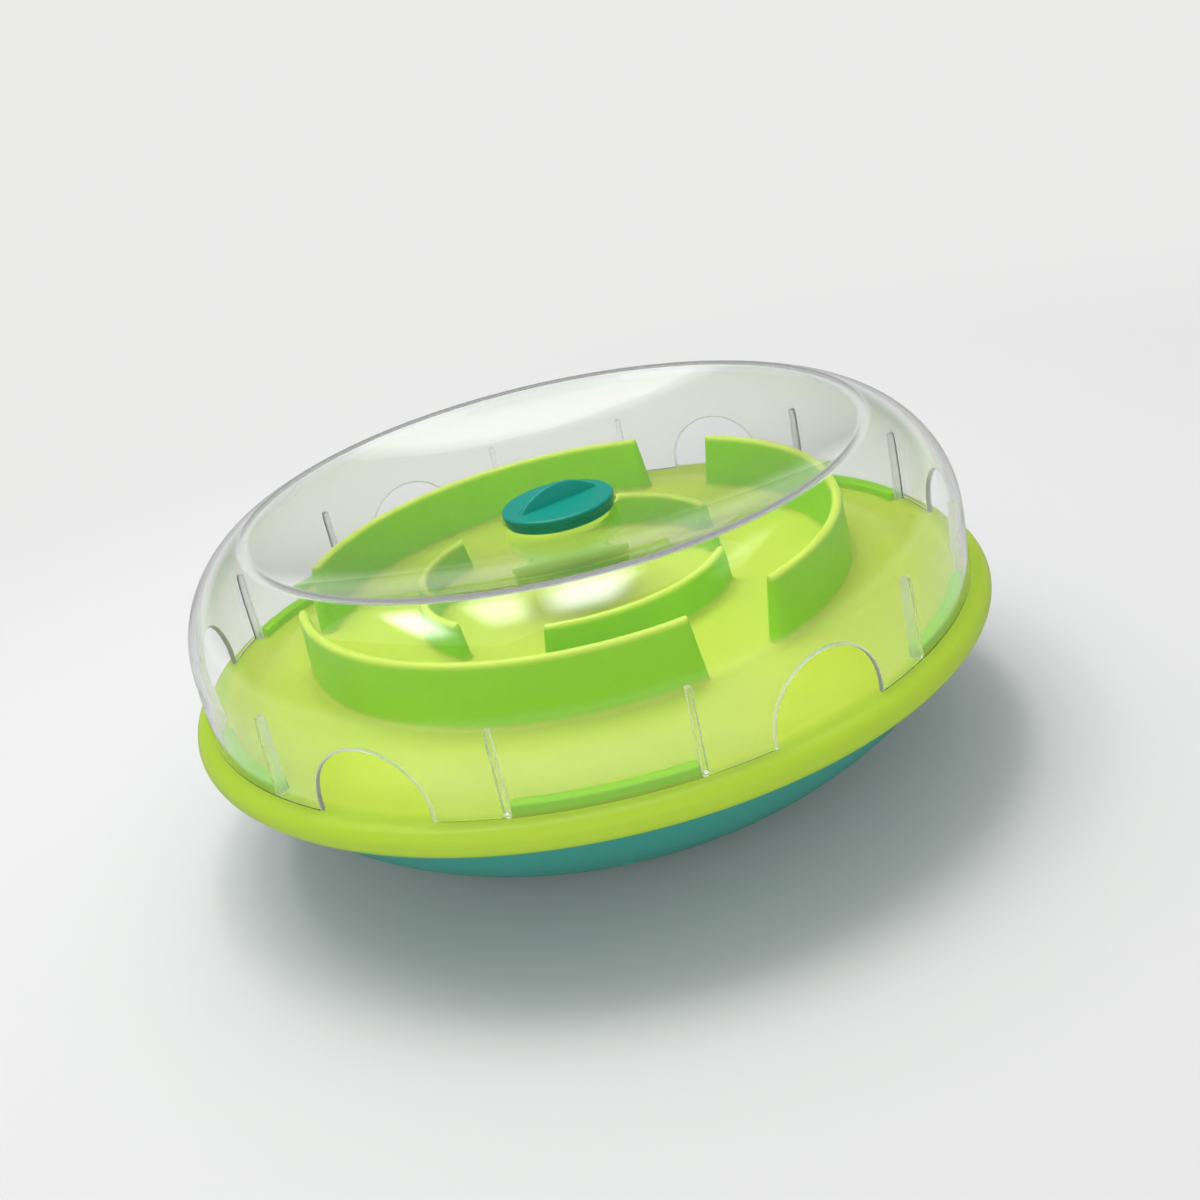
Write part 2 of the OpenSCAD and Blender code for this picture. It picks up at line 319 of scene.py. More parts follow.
def mouldedPlastic(look, wire, place, colour, extraRough=None):
    grain = place.noise(look["grainScale"], *mouldLook["grain"])
    waves = place.noise(look["waveScale"], *mouldLook["waves"])
    along = place.stretch(mouldLook["streakTurn"], mouldLook["streakStretch"])
    streaks = along.noise(look["streakScale"], *mouldLook["streaks"])
    rubbed = streaks.rise(*mouldLook["streakBand"]) * look["streakGain"]
    rough = look["roughness"] + (grain - 0.5) * look["roughGain"] + rubbed
    if extraRough:
        rough = rough + extraRough
    edge = wire.add("ShaderNodeBevel", {"samples": mouldLook["edgeSamples"]},
                    {"Radius": look["edgeRound"] * mm})
    bump = wire.bump(grain * look["grainDepth"] + waves * look["waveDepth"], Normal=edge)
    mottle = place.noise(look["mottleScale"], *mouldLook["mottle"]).rise(*mouldLook["mottleBand"])
    colour = (mottle * look["mottleGain"]).blend(colour, look["mottleTint"])
    surface = wire.add("ShaderNodeBsdfPrincipled", None, {
        "Base Color": colour, "Roughness": rough, "Normal": bump,
        "IOR": mouldLook["ior"], "Specular IOR Level": look["shine"]})
    close(wire, surface)


limeLook = {
    "floor": tint(186, 208, 67),
    # wall: the upright walls and lugs tinted a deeper green than the floor, painted shade
    "wall": tint(144, 214, 14),
    # crown: the round tops of the walls tinted lighter than the rest, a painted highlight
    "crown": tint(206, 230, 88),
    # lip: the rolled lip tinted darker and greener than the floor, painted shade
    "lip": tint(168, 199, 56),
    "roughness": 0.36, "shine": 0.28, "roughGain": 0.16, "edgeRound": 0.7,
    "grainScale": 1500.0, "grainDepth": 0.035, "waveScale": 45.0, "waveDepth": 0.12,
    "streakScale": 70.0, "streakGain": 0.08,
    "mottleScale": 22.0, "mottleGain": 0.12, "mottleTint": tint(168, 202, 44),
    "paintedShadeBand": (0.2, 2.4),  # above the floor
    "paintedTopBand": (-2.4, -0.2),  # below the top of a wall
    "innerBand": (72.0, 74.0),  # between the two rings of wall
    "paintedLipBand": (0.0, 6.0),  # out from the end of the floor
    "paintedLugBand": (0.2, 0.8), "lugIn": (126.0, 126.8),
}


def limePlastic():
    material, wire, place = startMaterial("limePlastic")
    radius, height = polar(place)
    inner = 1 - radius.rise(*limeLook["innerBand"])
    # painted shade: what stands above the floor takes the deeper wall tint
    wall = height.rise(*limeLook["paintedShadeBand"], stack["floorZ"])
    # painted highlight on the tops of both rings of wall
    crown = height.rise(*limeLook["paintedTopBand"], stack["outerTopZ"])
    paintedTopInner = height.rise(*limeLook["paintedTopBand"], stack["innerTopZ"]) * inner
    # painted shade on the lip, out from the end of the floor
    lip = radius.rise(*limeLook["paintedLipBand"], stack["flatIn"])
    # the lugs' faces take the same painted shade as the walls
    lug = height.rise(*limeLook["paintedLugBand"], stack["seatZ"]) * radius.rise(*limeLook["lugIn"])
    colour = lip.blend(limeLook["floor"], limeLook["lip"])
    colour = wire.maths("MAXIMUM", wall, lug).blend(colour, limeLook["wall"])
    # the wall tops take the lighter crown tint of painted highlight
    colour = wire.maths("MAXIMUM", crown, paintedTopInner).blend(colour, limeLook["crown"])
    mouldedPlastic(limeLook, wire, place, colour)
    return material


tealLook = {
    "side": tint(54, 152, 138),
    "footRub": tint(84, 150, 140),
    "roughness": 0.40, "shine": 0.45, "roughGain": 0.18, "edgeRound": 0.6,
    "grainScale": 1300.0, "grainDepth": 0.05, "waveScale": 30.0, "waveDepth": 0.15,
    "streakScale": 60.0, "streakGain": 0.10,
    "mottleScale": 18.0, "mottleGain": 0.2, "mottleTint": tint(56, 132, 121),
    "rubBand": (0.4, 3.0), "rubScale": 240.0, "rubNoise": (5.0, 0.7), "rubShown": (0.42, 0.62),
    "rubRough": 0.18,
}


def tealPlastic():
    material, wire, place = startMaterial("tealPlastic")
    height = polar(place)[1]
    patches = place.noise(tealLook["rubScale"], *tealLook["rubNoise"]).rise(*tealLook["rubShown"])
    rubbed = (1 - height.rise(*tealLook["rubBand"])) * patches  # the foot rubs the floor
    colour = rubbed.blend(tealLook["side"], tealLook["footRub"])
    mouldedPlastic(tealLook, wire, place, colour, rubbed * tealLook["rubRough"])
    return material


capLook = {
    # face and side are one teal plastic in two tints: a lighter face as painted light on the top, a darker
    # side as painted shade
    "face": tint(16, 146, 130),
    "side": tint(4, 122, 90),
    "roughness": 0.33, "shine": 0.45, "roughGain": 0.14, "edgeRound": 0.5,
    "grainScale": 1600.0, "grainDepth": 0.03, "waveScale": 80.0, "waveDepth": 0.06,
    "streakScale": 130.0, "streakGain": 0.10,
    "mottleScale": 60.0, "mottleGain": 0.2, "mottleTint": tint(10, 138, 122),
    "paintedFaceBand": (3.6, 4.8),  # above the cap's seat
}


def capPlastic():
    material, wire, place = startMaterial("capPlastic")
    # painted light and shade: the top face and the fin take the lighter face tint, the side below takes the
    # darker side tint
    top = polar(place)[1].rise(*capLook["paintedFaceBand"], stack["capZ"])
    mouldedPlastic(capLook, wire, place, top.blend(capLook["side"], capLook["face"]))
    return material


# clear plastic: polished and faintly hazed, rougher at the crest and the arch edges, where a pale opaque
# coat is mixed in as a painted highlight

clearLook = {
    "body": (0.985, 0.992, 0.986, 1.0), "transmission": 0.991, "ior": 1.45,
    "lamp": grey(0.99),
    "soak": (0.55, 0.70, 0.60, 1.0), "soakDensity": 9.0,
    "roughness": 0.012, "waveScale": 34.0, "waveDepth": 0.035, "waves": (1.0, 0.5),
    "hazeScale": 26.0, "hazeNoise": (4.0, 0.6), "hazeBand": (0.45, 0.8), "hazeGain": 0.03,
    "springZ": 80.3, "bendGain": 0.0141,  # where the wall starts to bend inwards, and how fast
    "ribBand": (0.12, 0.4), "ribTop": (86.0, 86.6), "ribRough": 0.55,
    # the arch edges and the crest are rougher, and a share of them is a pale opaque coat: painted highlight
    "edgeBand": (0.6, 1.2), "edgeIn": (129.5, 130.0), "edgeRough": 0.45, "edgeHighlight": 0.22,
    "crestBand": (-0.7, -0.2), "crestRough": 0.14, "crestHighlight": 0.26,
    # tint and roughness of that pale coat of painted highlight
    "highlightTint": (0.86, 0.88, 0.88, 1.0), "highlightRough": 0.6,
}


def archEdge(place, radius, height):  # 1 on the rounded edge of each arch
    angle = place.maths("ARCTAN2", axis(place, 1), axis(place, 0))
    turn = place.maths("PINGPONG", angle, math.radians(sixth / 2))
    across = radius * place.maths("SINE", turn, 0.0)
    up = place.maths("MAXIMUM", height - (stack["seatZ"] + stack["archTop"] - stack["archR"]), 0.0)
    away = (across * across + up * up) ** 0.5 - stack["archR"]
    return (1 - away.rise(*clearLook["edgeBand"])) * radius.rise(*clearLook["edgeIn"])


def ribMask(place, radius, height):  # 1 on what stands in from the wall's inner skin
    lean = math.tan(math.radians(stack["lean"]))
    skin = stack["domeR"] - stack["domeWall"] - (height - stack["seatZ"]) * lean
    bend = place.maths("MAXIMUM", height - clearLook["springZ"], 0.0)
    skin = skin - bend * bend * clearLook["bendGain"]
    return (skin - radius).rise(*clearLook["ribBand"]) * (1 - height.rise(*clearLook["ribTop"]))


def clearPlastic():
    material, wire, place = startMaterial("clearPlastic")
    radius, height = polar(place)
    haze = place.noise(clearLook["hazeScale"], *clearLook["hazeNoise"]).rise(*clearLook["hazeBand"])
    rib = ribMask(place, radius, height)  # the ribs are left as cut, not polished
    edge = archEdge(place, radius, height)
    crest = height.rise(*clearLook["crestBand"], stack["crestZ"])
    rough = clearLook["roughness"] + haze * clearLook["hazeGain"] + rib * clearLook["ribRough"]
    rough = rough + edge * clearLook["edgeRough"] + crest * clearLook["crestRough"]
    # painted highlight: how much pale opaque coat is mixed in on the arch edges and the crest
    paintedHighlight = edge * clearLook["edgeHighlight"] + crest * clearLook["crestHighlight"]
    bump = wire.bump(place.noise(clearLook["waveScale"], *clearLook["waves"]) * clearLook["waveDepth"])
    body = wire.add("ShaderNodeBsdfPrincipled", None, {
        "Base Color": clearLook["body"], "Roughness": rough, "Normal": bump,
        "IOR": clearLook["ior"], "Transmission Weight": clearLook["transmission"]})
    # the pale opaque coat of the painted highlight
    paleCoat = wire.add("ShaderNodeBsdfPrincipled", None, {
        "Base Color": clearLook["highlightTint"], "Roughness": clearLook["highlightRough"]})
    body = wire.add("ShaderNodeMixShader", None, {0: paintedHighlight, 1: body, 2: paleCoat})
    lamp = wire.add("ShaderNodeBsdfTransparent", None, {"Color": clearLook["lamp"]})
    surface = wire.add("ShaderNodeMixShader", None, {0: wire.ray("Shadow"), 1: body, 2: lamp})
    soak = wire.add("ShaderNodeVolumeAbsorption", None, {
        "Color": clearLook["soak"], "Density": clearLook["soakDensity"]})
    close(wire, surface, soak)
    return material


steelLook = {
    "patches": (5.0, 0.65), "patchBand": (0.35, 0.7), "patchRough": 0.1,
    "fineRatio": 14, "fineNoise": (2.0, 0.5), "fineRough": 0.12,
    "zinc": {"main": tint(196, 198, 200), "patch": tint(204, 199, 184),
             "roughness": 0.26, "scale": 130.0, "depth": 0.01},
    "rolled": {"main": tint(122, 124, 127), "patch": tint(84, 86, 90),
               "roughness": 0.42, "scale": 70.0, "depth": 0.03},
}


def plainSteel(name, look):
    material, wire, place = startMaterial(name)
    patches = place.noise(look["scale"], *steelLook["patches"])
    fine = place.noise(look["scale"] * steelLook["fineRatio"], *steelLook["fineNoise"])
    rough = look["roughness"] + (fine - 0.5) * steelLook["fineRough"] + patches * steelLook["patchRough"]
    surface = wire.add("ShaderNodeBsdfPrincipled", None, {
        "Base Color": patches.rise(*steelLook["patchBand"]).blend(look["main"], look["patch"]),
        "Metallic": 1.0, "Roughness": rough, "Normal": wire.bump((patches + fine) * look["depth"])})
    close(wire, surface)
    return material


lime, teal, capTeal, clear = limePlastic(), tealPlastic(), capPlastic(), clearPlastic()
zinc = plainSteel("zincSteel", steelLook["zinc"])
rolled = plainSteel("rolledSteel", steelLook["rolled"])
print("materials ready")


# rocker base: one arc from a flat foot to an upright rim, with bosses inside

baseSize = {
    "footR": 42.0, "outR": 134.0, "rimH": 6.0, "wall": 2.6, "rimRound": 0.5,
    "arcSteps": 44, "rimSteps": 4, "footRings": 4,
    "bossR": 5.9, "boreR": 3.5, "shankR": 1.55, "shankFrom": 30.0,
    "clampBossR": 4.0, "pilotDeep": 8.0, "overrun": 2.0, "postSpin": 40, "smoothUnder": 32,
}
rockerH = stack["baseH"] - baseSize["rimH"]
rockerRun = baseSize["outR"] - baseSize["footR"]
rockerR = (rockerRun ** 2 + rockerH ** 2) / (2 * rockerH)


def rockerZ(r, depth=0.0):
    return rockerR - math.sqrt((rockerR - depth) ** 2 - max(r - baseSize["footR"], 0.0) ** 2)


def baseSection():
    foot, wall, high = baseSize["footR"], baseSize["wall"], stack["baseH"]
    out, edge, rimSteps = baseSize["outR"], baseSize["rimRound"], baseSize["rimSteps"]
    end = -math.degrees(math.acos(rockerRun / rockerR))
    endIn = -math.degrees(math.acos((rockerRun - wall) / (rockerR - wall)))
    middle = [(i * foot / baseSize["footRings"], 0.0) for i in range(baseSize["footRings"])]
    outside = arcPoints((foot, rockerR), rockerR, -90, end, baseSize["arcSteps"])
    rim = arcPoints((out - edge, high - edge), edge, 0, 90, rimSteps)
    rim += arcPoints((out - wall + edge, high - edge), edge, 90, 180, rimSteps)
    inside = arcPoints((foot, rockerR), rockerR - wall, endIn, -90, baseSize["arcSteps"])
    return middle + outside + rim + inside + [(r, z + wall) for r, z in reversed(middle)]


# rods round the axis, or posts whose feet follow the shell
def rodRing(name, r, low, high, at, ring, onShell=False):
    bm = bmesh.new()
    section = [(0.0, low), (r, low), (r, high), (0.0, high)]
    rings = spinSection(bm, section, baseSize["postSpin"], True, (at, 0.0))
    for v in rings[0] + rings[1] if onShell else []:
        v.co.z = rockerZ(v.co.xy.length / mm, baseSize["wall"] / 2) * mm
    return copyRound(name, makePiece(name + "One", bm), *ring, teal)


def rockerBase():
    bm = bmesh.new()
    spinSection(bm, baseSection(), stack["spin"])
    piece = makePiece("rockerBase", bm)
    screw, clamp = (stack["screwR"], stack["screwRing"]), (stack["clampR"], stack["clampRing"])
    bossZ, clampZ = stack["bossZ"], stack["ballastTop"]
    over, shankR = baseSize["overrun"], baseSize["shankR"]
    posts = rodRing("posts", baseSize["bossR"], 0.0, bossZ, *screw, True)
    stubs = rodRing("stubs", baseSize["clampBossR"], 0.0, clampZ, *clamp, True)
    fuse(piece, [posts, stubs])
    bores = rodRing("bores", baseSize["boreR"], -over, stack["screwSeatZ"], *screw)
    shanks = rodRing("shanks", shankR, baseSize["shankFrom"], bossZ + over, *screw)
    pilots = rodRing("pilots", shankR, clampZ - baseSize["pilotDeep"], clampZ + over, *clamp)
    fuse(piece, [bores, shanks, pilots], "DIFFERENCE")
    smooth(piece, baseSize["smoothUnder"])
    dress(piece, teal)
    handOver(piece, "base_shell", "base")


rockerBase()


# maze tray: spun floor and rolled lip, two rings of drafted walls, six lugs

traySize = {
    "thick": 2.6, "lipR": 5.0, "lipCurl": 40.0, "lipSteps": 26, "curlSteps": 20, "tipSteps": 8,
    "tipShare": 14.0,  # degrees of the curl that the rounded tip takes up
    "browShare": 0.6, "flatRings": 8, "slopeSteps": 14,
    "ringR": 131.1, "ringW": 2.2, "ringH": 5.0,
    "bossR": 4.5, "pilotR": 1.55, "pilotTop": 54.5, "postSpin": 32, "smoothUnder": 34,
}
mazeSize = {
    "count": 3, "topW": 3.4, "draft": 4.0, "endSlope": 8.0, "corner": 4.0, "sink": 1.3, "stations": 72,
    "footRound": 1.3, "footTurn": 82.0, "footSteps": 6, "sideSteps": 5, "topTurn": 87.0, "topSteps": 8,
    "outer": {"r": stack["outerRingR"], "top": stack["outerTopZ"], "gap": 31.0, "start": 60.0},
    "inner": {"r": stack["innerRingR"], "top": stack["innerTopZ"], "gap": 33.0, "start": 0.0},
}
lugSize = {
    "ring": (6, 30), "length": 53.0, "thick": 4.4, "high": 3.2, "clear": 0.6, "sink": 0.6,
    "edgeRound": 0.7, "roundSteps": 4, "corner": 0.9, "stations": 24,
}
loftSize = {"cornerShare": 0.97, "cornerTurns": (15, 30, 45, 60, 75)}
slopeW = stack["flatIn"] - stack["outerRingR"]
slopeTurn = 2 * math.degrees(math.atan((stack["floorZ"] - stack["seatZ"]) / slopeW))
browR = traySize["browShare"] * slopeW / math.sin(math.radians(slopeTurn))
toeR = slopeW / math.sin(math.radians(slopeTurn)) - browR


def floorLine(depth):
    top, flatR, steps = stack["floorZ"], stack["outerRingR"], traySize["slopeSteps"]
    flat = [(flatR * i / traySize["flatRings"], top - depth) for i in range(traySize["flatRings"])]
    brow = arcPoints((flatR, top - browR), browR - depth, 90, 90 - slopeTurn, steps)
    toe = arcPoints((stack["flatIn"], stack["seatZ"] + toeR), toeR + depth, 270 - slopeTurn, 270, steps)
    return flat + brow + toe[1:]


def floorHeight(r):  # top of the floor at a distance from the axis
    line = floorLine(0)
    for (r0, z0), (r1, z1) in zip(line, line[1:]):
        if r0 <= r <= r1:
            return z0 + (z1 - z0) * (r - r0) / (r1 - r0)
    return stack["seatZ"]


def traySection():
    thick, lipR, curl = traySize["thick"], traySize["lipR"], -traySize["lipCurl"]
    lipC = (stack["rimR"] - lipR, stack["seatZ"] - lipR)
    ringOut, low, high = traySize["ringR"], stack["baseH"] - traySize["ringH"], stack["baseH"]
    ringIn = ringOut - traySize["ringW"]
    tipR, tipStart = thick / 2, curl + traySize["tipShare"]
    tipC = arcPoints(lipC, lipR - tipR, curl, curl, 1)[0]  # the lip's lower edge is a half round
    lip = arcPoints(lipC, lipR, 90, tipStart, traySize["lipSteps"])
    lip += arcPoints(tipC, tipR, curl, curl - 180, traySize["tipSteps"])[1:-1]
    lip += arcPoints(lipC, lipR - thick, tipStart, 90, traySize["curlSteps"])
    ring = [(ringOut, high), (ringOut, low), (ringIn, low), (ringIn, high)]
    return floorLine(0) + lip + ring + list(reversed(floorLine(thick)))


# stacked outlines of a wall that follows a ring
def outlineLoft(name, levels, ringR, span, stations, corner):
    bend = [(math.sin(math.radians(a)), math.cos(math.radians(a))) for a in loftSize["cornerTurns"]]
    bm = bmesh.new()
    rings = []
    for z, half, length, follow in levels:  # height, half width, half length, share of the floor's fall
        c = min(corner, loftSize["cornerShare"] * half)
        path = [((length - c) * (2 * i / stations - 1), half) for i in range(stations + 1)]
        path += [(length - c + c * x, half - c + c * y) for x, y in bend]
        path += [(length, half - c), (length, c - half)]
        path += [(length - c + c * y, c - half - c * x) for x, y in bend]
        path += [(-s, -w) for s, w in path]
        ring = []
        for s, w in path:
            r, a = ringR + w, math.radians(span(w, z)) * s / length
            drop = (stack["floorZ"] - floorHeight(r)) * follow
            ring.append(bm.verts.new((r * math.cos(a) * mm, r * math.sin(a) * mm, (z - drop) * mm)))
        rings.append(ring)
    stackRings(bm, rings)
    for ring in (rings[0], rings[-1]):  # close foot and top with a strip of quads
        half = len(ring) // 2
        for i in range(stations):
            bm.faces.new((ring[i], ring[i + 1], ring[half + stations - i - 1], ring[half + stations - i]))
        bm.faces.new(ring[stations:half + 1])
        bm.faces.new(ring[half + stations:] + [ring[0]])
    return makePiece(name, bm)


def mazeWall(name, size):
    half, draft = mazeSize["topW"] / 2, math.radians(mazeSize["draft"])
    r, top, foot = size["r"], size["top"], stack["floorZ"]
    slope, fillet = math.tan(math.radians(mazeSize["endSlope"])), mazeSize["footRound"]
    footSteps, sideSteps, topSteps = mazeSize["footSteps"], mazeSize["sideSteps"], mazeSize["topSteps"]
    springZ = top - half + half * math.sin(draft)

    def sideHalf(z):
        return half * math.cos(draft) + (springZ - z) * math.tan(draft)

    def span(w, z):  # half angle of the wall, with the ends square to the opening
        gapHalf = size["gap"] / 2 - (top - max(z, foot)) * slope
        return sixth - math.degrees(math.asin(gapHalf / (r + w)))

    def row(z, w, flare=0.0, follow=0.0, draw=0.0):
        return (z, w, math.radians(span(0, z)) * r + flare - draw, follow)

    levels = [row(foot - mazeSize["sink"], sideHalf(foot) + fillet, fillet, 1.0)]
    for i in range(footSteps, -1, -1):  # foot fillet
        a = math.radians(mazeSize["footTurn"] * i / footSteps)
        z, flare = foot + fillet * (1 - math.sin(a)), fillet * (1 - math.cos(a))
        levels.append(row(z, sideHalf(z) + flare, flare, 1.0 if i else 0.5))
    for i in range(1, sideSteps + 1):  # drafted sides
        z = foot + fillet + (springZ - foot - fillet) * i / sideSteps
        levels.append(row(z, sideHalf(z)))
    for i in range(1, topSteps + 1):  # full round along the top
        a = math.radians(mazeSize["draft"] + (mazeSize["topTurn"] - mazeSize["draft"]) * i / topSteps)
        w = half * math.cos(a)
        levels.append(row(top - half + half * math.sin(a), w, draw=half * math.cos(draft) - w))
    return outlineLoft(name, levels, r, span, mazeSize["stations"], mazeSize["corner"])


def lugSolid():
    half, edge, length = lugSize["thick"] / 2, lugSize["edgeRound"], lugSize["length"] / 2
    r = stack["domeR"] - stack["domeWall"] - lugSize["clear"] - half
    foot, roundZ = stack["seatZ"], stack["seatZ"] + lugSize["high"] - edge
    levels = [(foot - lugSize["sink"], half, length, 0.0), (roundZ, half, length, 0.0)]
    for i in range(1, lugSize["roundSteps"] + 1):
        a = math.radians(90 * i / lugSize["roundSteps"])
        inset = edge * (1 - math.cos(a))
        levels.append((roundZ + edge * math.sin(a), half - inset, length - inset, 0.0))
    span = math.degrees(length / r)
    return outlineLoft("lug", levels, r, lambda w, z: span, lugSize["stations"], lugSize["corner"])


def trayPost():  # its top ends within the sloping floor
    low, high, r = stack["bossZ"], stack["seatZ"], traySize["bossR"]
    pilot, pilotTop = traySize["pilotR"], traySize["pilotTop"]
    section = [(pilot, low), (r, low), (r, high), (0.0, high), (0.0, pilotTop), (pilot, pilotTop)]
    bm = bmesh.new()
    rings = spinSection(bm, section, traySize["postSpin"], True, (stack["screwR"], 0.0))
    for v in rings[2] + rings[3]:
        v.co.z = (floorHeight(v.co.xy.length / mm) - traySize["thick"] / 2) * mm
    return makePiece("trayPost", bm)


def mazeTray():
    bm = bmesh.new()
    spinSection(bm, traySection(), stack["spin"])
    piece = makePiece("mazeTray", bm)
    added = []
    for label in ("outer", "inner"):
        wall, start = mazeWall(label + "Wall", mazeSize[label]), mazeSize[label]["start"] + sixth
        added.append(copyRound(label + "Walls", wall, mazeSize["count"], start, lime))
    added.append(copyRound("lugs", lugSolid(), *lugSize["ring"], lime))
    added.append(copyRound("trayPosts", trayPost(), *stack["screwRing"], lime))
    fuse(piece, added)
    smooth(piece, traySize["smoothUnder"])
    dress(piece, lime)
    handOver(piece, "tray", "base")


mazeTray()


# clear dome: leaning wall, shoulder, crest and dish as tangent arcs, six arches, twelve ribs

domeSize = {
    "high": 56.2, "shoulderR": 37.5, "crestR": 5.0, "crestInset": 28.0, "dishDrop": 19.3,
    "shoulderSteps": 26, "crestSteps": 18, "dishSteps": 26,
    "arches": 6, "zoneAngle": 11.5, "topColumns": 32, "sideColumns": 14, "rows": 12, "rowPower": 1.35,
    "edgeRound": 0.9, "edgeSteps": 6,
    "ribH": 26.5, "ribDepth": 3.4, "ribT": 1.6, "ribLift": 0.4, "ribTurn": 12.24,
    "ribRound": 0.3, "ribRows": 8,
    "holeR": 16.0, "holeSeatR": 21.1, "holeRound": 0.3, "holeAngle": 50,
    "trueTop": 92.0, "trueWithin": 0.02, "trueFacing": 0.9, "smoothUnder": 34,
}
leanRad = math.radians(stack["lean"])
topZ = stack["seatZ"] + domeSize["high"]
crestC = Vector((stack["domeR"] - domeSize["crestInset"], topZ - domeSize["crestR"]))
leanN = Vector((math.cos(leanRad), math.sin(leanRad)))
leanT = Vector((-math.sin(leanRad), math.cos(leanRad)))
wallFoot = Vector((stack["domeR"], stack["seatZ"]))
wallOffset = crestC.dot(leanN) - (wallFoot.dot(leanN) - domeSize["shoulderR"])
climb = math.sqrt((domeSize["shoulderR"] - domeSize["crestR"]) ** 2 - wallOffset ** 2)
shoulderC = crestC - leanN * wallOffset - leanT * climb
shoulderEnd = math.degrees(math.atan2(crestC.y - shoulderC.y, crestC.x - shoulderC.x))
dishZ = topZ - domeSize["dishDrop"]
dishAbove = crestC.y - dishZ
dishR = (crestC.x ** 2 + dishAbove ** 2 - domeSize["crestR"] ** 2) / (2 * (dishAbove + domeSize["crestR"]))
dishC = Vector((0.0, dishZ + dishR))
dishEdge = math.degrees(math.atan2(crestC.x, dishC.y - crestC.y))
capSeatZ = dishC.y - math.sqrt(dishR ** 2 - domeSize["holeSeatR"] ** 2)


def domeRadius(depth, z):
    springZ = shoulderC.y + (domeSize["shoulderR"] - depth) * math.sin(leanRad)
    if z <= springZ:
        return stack["domeR"] - depth / math.cos(leanRad) - (z - stack["seatZ"]) * math.tan(leanRad)
    return shoulderC.x + math.sqrt((domeSize["shoulderR"] - depth) ** 2 - (z - shoulderC.y) ** 2)


def crownLine(depth):  # from the top of the arch zone to the rim of the cap's seat
    hub = math.degrees(math.asin(domeSize["holeSeatR"] / (dishR + depth)))
    shoulderR, crestR = domeSize["shoulderR"] - depth, domeSize["crestR"] - depth
    line = arcPoints(shoulderC, shoulderR, domeSize["zoneAngle"], shoulderEnd, domeSize["shoulderSteps"])
    line += arcPoints(crestC, crestR, shoulderEnd, 90 + dishEdge, domeSize["crestSteps"])[1:]
    return line + arcPoints(dishC, dishR + depth, dishEdge - 90, hub - 90, domeSize["dishSteps"])[1:]


def archLine(inset):  # right foot, over the top, left foot, in even steps; the inset widens the arch
    half = stack["archR"] + inset
    leg = stack["archTop"] - stack["archR"]
    count = 2 * domeSize["sideColumns"] + domeSize["topColumns"]
    total = 2 * leg + math.pi * half
    line = []
    for i in range(count + 1):
        run = total * i / count
        if run <= leg:
            line.append((half, run))
        elif run >= total - leg:
            line.append((-half, total - run))
        else:
            a = (run - leg) / half
            line.append((half * math.cos(a), leg + half * math.sin(a)))
    return [(y, z + inset * max(0.0, 1 - z / leg)) for y, z in line]


# points of the wall round one arch, in columns from its edge to the border of its sixth
def archColumns(depth, inset, turn):
    side, top, rows = domeSize["sideColumns"], domeSize["topColumns"], domeSize["rows"]
    zoneTop = shoulderC.y + (domeSize["shoulderR"] - depth) * math.sin(math.radians(domeSize["zoneAngle"]))
    low, half = stack["seatZ"] + inset, sixth / 2
    border = [(half, low + (zoneTop - low) * i / side) for i in range(side)]
    border += [(half - sixth * i / top, zoneTop) for i in range(top)]
    border += [(-half, zoneTop + (low - zoneTop) * i / side) for i in range(side + 1)]
    columns = []
    for (y, z), (edgeTurn, edgeZ) in zip(archLine(inset), border):
        z += stack["seatZ"]
        start = math.degrees(math.asin(y / domeRadius(depth, z)))
        column = []
        for j in range(rows + 1):
            u = (j / rows) ** domeSize["rowPower"]
            a, h = math.radians(turn + start + (edgeTurn - start) * u), z + (edgeZ - z) * u
            r = domeRadius(depth, h)
            column.append((r * math.cos(a) * mm, r * math.sin(a) * mm, h * mm))
        columns.append(column)
    return columns


def edgeOf(columns):  # along the foot, round the arch, along the foot
    return list(reversed(columns[0])) + [c[0] for c in columns[1:-1]] + columns[-1]


def archSector(bm, turn):
    wall, reach, steps = stack["domeWall"], domeSize["edgeRound"], domeSize["edgeSteps"]
    skins = []
    for depth in (0.0, wall):
        columns = [[bm.verts.new(p) for p in column] for column in archColumns(depth, reach, turn)]
        for left, right in zip(columns, columns[1:]):
            for j in range(domeSize["rows"]):
                bm.faces.new((left[j], right[j], right[j + 1], left[j + 1]))
        skins.append(edgeOf(columns))
    paths = [skins[0]]
    for k in range(1, steps):  # rounded edge between the two skins
        a = math.pi * k / steps
        points = edgeOf(archColumns(wall / 2 * (1 - math.cos(a)), reach * (1 - math.sin(a)), turn))
        paths.append([bm.verts.new(p) for p in points])
    paths.append(skins[1])
    for near, far in zip(paths, paths[1:]):
        for j in range(len(near) - 1):
            bm.faces.new((near[j], near[j + 1], far[j + 1], far[j]))


def ribSolid():
    low, high = stack["seatZ"] + domeSize["ribLift"], stack["seatZ"] + domeSize["ribH"]
    back = stack["domeR"] - stack["domeWall"] - domeSize["ribDepth"]
    half, edge, rows = domeSize["ribT"] / 2, domeSize["ribRound"], domeSize["ribRows"]
    turns = [math.radians(a) for a in (0, 30, 60, 90)]
    nose = [(back + edge - edge * math.cos(a), half - edge + edge * math.sin(a)) for a in turns]
    bm = bmesh.new()
    rings = []
    for i in range(rows + 1):
        z = low + (high - low) * i / rows
        front = domeRadius(stack["domeWall"] / 2, z)
        path = [(front, -half), (front, half)] + list(reversed(nose)) + [(x, -y) for x, y in nose]
        rings.append([bm.verts.new((x * mm, y * mm, z * mm)) for x, y in path])
    stackRings(bm, rings, True)
    return makePiece("rib", bm)


def skinAngle(depth, z):  # how far the wall faces up at a height
    return max(leanRad, math.asin(min(1.0, (z - shoulderC.y) / (domeSize["shoulderR"] - depth))))


